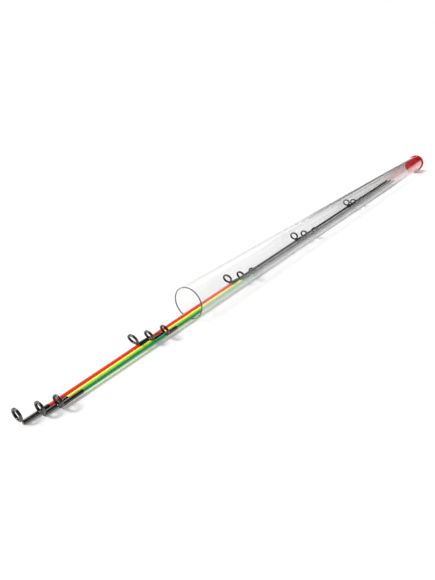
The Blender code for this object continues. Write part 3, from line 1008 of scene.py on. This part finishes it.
for name, tip in TIPS.items():
    top_radius = blank_radius(TOP_REACH) + FOOT_GAP
    wrap(f"tip_{name}_top_binding", f"{name}_tip", seat(tip, 0.0, TOP_REACH), {
        "Length": BINDING_LENGTH,
        "Start": BINDING_START,
        "Rod radius": top_radius,
        "Foot half width": 0.0,
        "Toe half width": 0.0,
        "Foot top": top_radius,
        "Toe top": top_radius,
    })
    for number, distance in enumerate(tip["guides"], start=1):
        radius = blank_radius(distance + WRAP_END) + FOOT_GAP
        place = seat(tip, distance, WRAP_END)
        wrap(f"tip_{name}_guide_{number}_whipping", f"{name}_tip", place, {
            "Length": WRAP_LENGTH,
            "Start": WRAP_START,
            "Rod radius": radius,
            "Foot half width": FOOT_EDGE,
            "Toe half width": FOOT_EDGE * TOE_TAPER,
            "Foot top": radius + FOOT_THICKNESS,
            "Toe top": radius + TOE_THICKNESS,
        })


# Floor and light: a white sweep lit softly from all round, with one lamp high over the mouth's end
# of the tube for the thin shadows under the rods. What is glossy sees a dark studio instead: bright
# along the horizon and low on the near side, and on the far side a wall, a strip and a softbox.
FLOOR_SIZE = 6.0
FLOOR_WHITE = (0.86, 0.86, 0.86, 1.0)
FLOOR_GLOW = 0.15
SKY_WHITE = (1.0, 1.0, 1.0, 1.0)
SKY_LIGHT = 0.5
STUDIO_DARK = 0.015
HORIZON = (0.03, 0.0)
FAR_WALL_SHINE = 1.0
FAR_WALL = (0.25, 0.5)
FAR_WALL_END = (0.89, 0.85)
NEAR_SIDE_TOP = (0.10, 0.03)
NEAR_SIDE = (0.0, -0.1)
STRIP = (0.15, 0.19, 0.26, 0.30)
STRIP_FOOT = (0.18, 0.24)
SOFTBOX_SHINE = 4.0
SOFTBOX = (0.62, 0.70, 0.92, 1.0)
SOFTBOX_END = (0.862, 0.845)
LEAST_CLIMB = 0.01
LAMP_STRENGTH = 2.3
LAMP_ANGLE = math.radians(16.0)
LAMP_FROM = Vector((-0.8, 0.3, 1.0))

floor_mesh = bpy.data.meshes.new("floor")
half = FLOOR_SIZE / 2.0
floor_mesh.from_pydata(
    [(-half, -half, 0.0), (half, -half, 0.0), (half, half, 0.0), (-half, half, 0.0)],
    [],
    [(0, 1, 2, 3)],
)
floor = bpy.data.objects.new("floor", floor_mesh)
bpy.context.scene.collection.objects.link(floor)

white_sweep, bench, place = started("white sweep")
path = bench.node("ShaderNodeLightPath")
seen = joined("MAXIMUM", path["Is Glossy Ray"], path["Is Transmission Ray"])
seen = joined("MAXIMUM", path["Is Camera Ray"], seen)
paper = bench.node("ShaderNodeBsdfDiffuse", {}, {"Color": FLOOR_WHITE})
glow = bench.node("ShaderNodeEmission", {}, {"Strength": seen * FLOOR_GLOW})
both = bench.node("ShaderNodeAddShader", {}, {0: paper, 1: glow})
bench.node("ShaderNodeOutputMaterial", {}, {"Surface": both})
floor_mesh.materials.append(white_sweep)

world = bpy.data.worlds.new("studio")
world.use_nodes = True
world.node_tree.nodes.clear()
bpy.context.scene.world = world
bench = Bench(world.node_tree)
path = bench.node("ShaderNodeLightPath")
sky_point = bench.node("ShaderNodeTexCoord")["Generated"]
aim = bench.node("ShaderNodeSeparateXYZ", {}, {"Vector": sky_point})


def within(start, full, fall, end, value):
    """1 where the value is between full and fall, eased to 0 at the start and the end."""
    return bench.between(start, full, value) * bench.between(end, fall, value)


# A zone of the sky begins to show at the first value of its pair and is full at the second, on an
# axis of the direction that is looked in. The softbox runs along the tube, so it takes a slope
# across the tube instead.
horizon = bench.between(*HORIZON, joined("ABSOLUTE", aim["Z"]))
far_wall = bench.between(*FAR_WALL, aim["Y"]) * bench.between(*FAR_WALL_END, aim["X"])
near_side = bench.between(*NEAR_SIDE_TOP, aim["Z"]) * bench.between(*NEAR_SIDE, aim["Y"])
strip = within(*STRIP, aim["Y"]) * bench.between(*STRIP_FOOT, aim["Z"])
slope = aim["Y"] / joined("MAXIMUM", aim["Z"], LEAST_CLIMB)
softbox = within(*SOFTBOX, slope) * bench.between(*SOFTBOX_END, aim["X"])
bright = joined("MAXIMUM", horizon, FAR_WALL_SHINE * far_wall)
bright = joined("MAXIMUM", bright, joined("MAXIMUM", near_side, strip))
shine = STUDIO_DARK + (1.0 - STUDIO_DARK) * bright + SOFTBOX_SHINE * softbox
straight = joined("MAXIMUM", path["Is Camera Ray"], path["Is Transmission Ray"])
strength = SKY_LIGHT + (shine - SKY_LIGHT) * path["Is Glossy Ray"]
strength = strength + (1.0 - strength) * straight
sky = bench.node("ShaderNodeBackground", {}, {"Color": SKY_WHITE, "Strength": strength})
bench.node("ShaderNodeOutputWorld", {}, {"Surface": sky})

lamp = bpy.data.lights.new("high lamp", "SUN")
lamp.energy = LAMP_STRENGTH
lamp.angle = LAMP_ANGLE
lamp_place = bpy.data.objects.new("high lamp", lamp)
lamp_place.rotation_euler = LAMP_FROM.to_track_quat("Z", "Y").to_euler()
bpy.context.scene.collection.objects.link(lamp_place)


# Camera: low and close to the tips' free ends, on the near side of them, and looking down along the
# tube, so that the nearest rings are large and the plug at the far end is small.
CAMERA_PLACE = (-0.36662, -0.1431, 0.132074)
CAMERA_TILT = math.radians(63.025)
CAMERA_TURN = math.radians(-54.267)
CAMERA_LENS = 27.39
SENSOR_HEIGHT = 36.0
NEAREST_SEEN = 5.0 * MM

camera = bpy.data.cameras.new("camera")
camera.sensor_fit = "VERTICAL"
camera.sensor_height = SENSOR_HEIGHT
camera.lens = CAMERA_LENS
camera.clip_start = NEAREST_SEEN
camera_place = bpy.data.objects.new("camera", camera)
camera_place.location = CAMERA_PLACE
camera_place.rotation_euler = (CAMERA_TILT, 0.0, CAMERA_TURN)
bpy.context.scene.collection.objects.link(camera_place)
bpy.context.scene.camera = camera_place
bpy.context.scene.view_settings.view_transform = "Standard"
